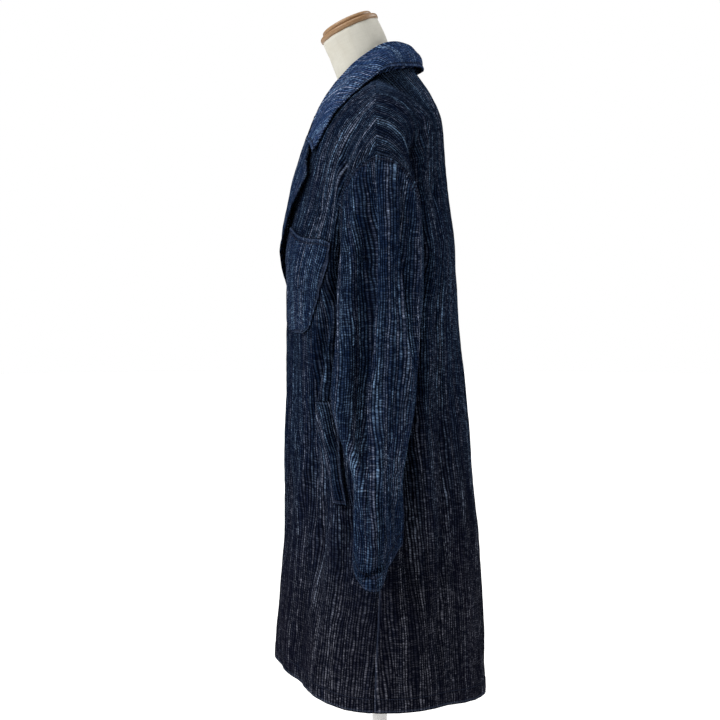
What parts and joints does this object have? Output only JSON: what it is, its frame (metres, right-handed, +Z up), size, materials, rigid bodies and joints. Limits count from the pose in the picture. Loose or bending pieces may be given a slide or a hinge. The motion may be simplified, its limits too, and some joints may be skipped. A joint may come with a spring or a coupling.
{
  "type": "kasuri coat on a limbless dress form with a stand",
  "caption": "Long loose kasuri coat with a notched collar, patch and welt pockets, worn on a limbless dress form that stands on a round base.",
  "frame": {"origin": "centre of the underside of the round base, on the floor", "axes": "+Z up, -Y the front of the coat, +X the wearer's left"},
  "size_m": [0.6034, 0.36, 1.4756],
  "materials": {
    "kasuri_cloth": "matte crinkled cotton weave, indigo with broken pale streaks",
    "form_canvas": "matte pale grey canvas",
    "cap_wood": "satin oiled light wood",
    "base_paint": "satin off-white powder coat"
  },
  "bodies": {
    "root": {"front_left": "kasuri_cloth", "front_right": "kasuri_cloth", "back": "kasuri_cloth", "sleeve_left": "kasuri_cloth", "sleeve_right": "kasuri_cloth", "collar": "kasuri_cloth", "lapel_left": "kasuri_cloth", "lapel_right": "kasuri_cloth", "chest_pocket": "kasuri_cloth", "welt_left": "kasuri_cloth", "welt_right": "kasuri_cloth", "form_torso": "form_canvas", "cap_lower": "cap_wood", "cap_upper": "cap_wood", "stem": "base_paint", "base": "base_paint"}
  },
  "joints": []
}
